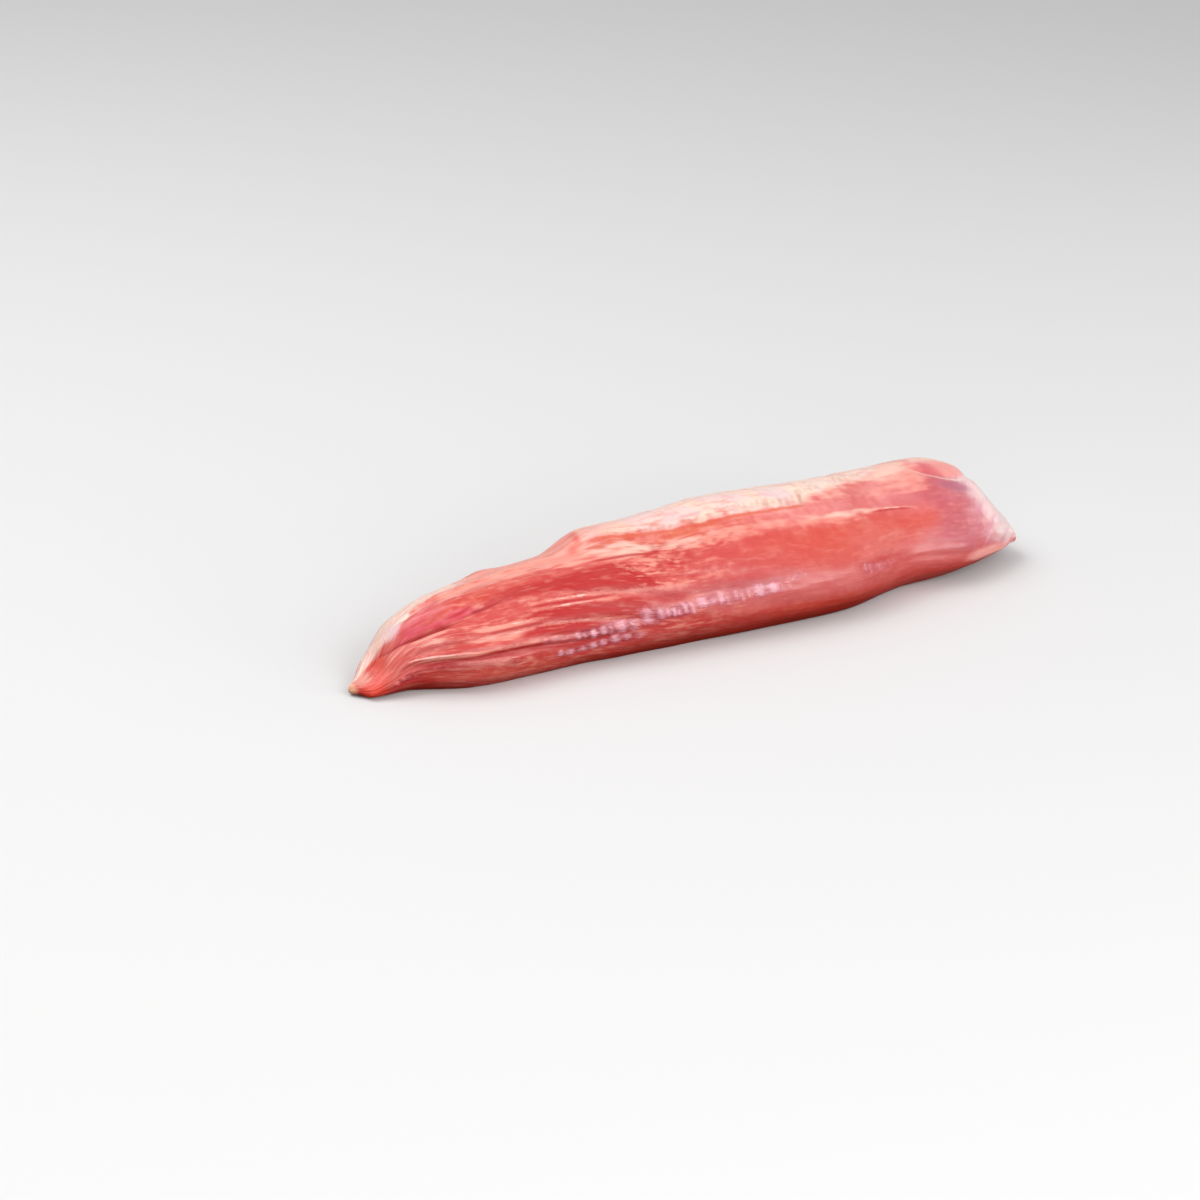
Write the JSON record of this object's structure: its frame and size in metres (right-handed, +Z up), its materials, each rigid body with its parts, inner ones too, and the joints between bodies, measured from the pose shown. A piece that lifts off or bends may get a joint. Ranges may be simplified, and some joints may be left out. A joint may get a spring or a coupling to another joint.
{
  "type": "raw pork tenderloin",
  "caption": "Long raw pork muscle with a folded tapering tail, a fat cap along its top and a blunt head end, lying on a flattened underside.",
  "frame": {"origin": "under the middle of the piece, on the level of the surface that it rests on", "axes": "+X along the piece from the tapering tip to the blunt head end, +Y from the long front side to the back, +Z up"},
  "size_m": [0.298, 0.0646, 0.0423],
  "materials": {
    "raw_pork": null
  },
  "bodies": {
    "root": {"tenderloin": "raw_pork"}
  },
  "joints": []
}
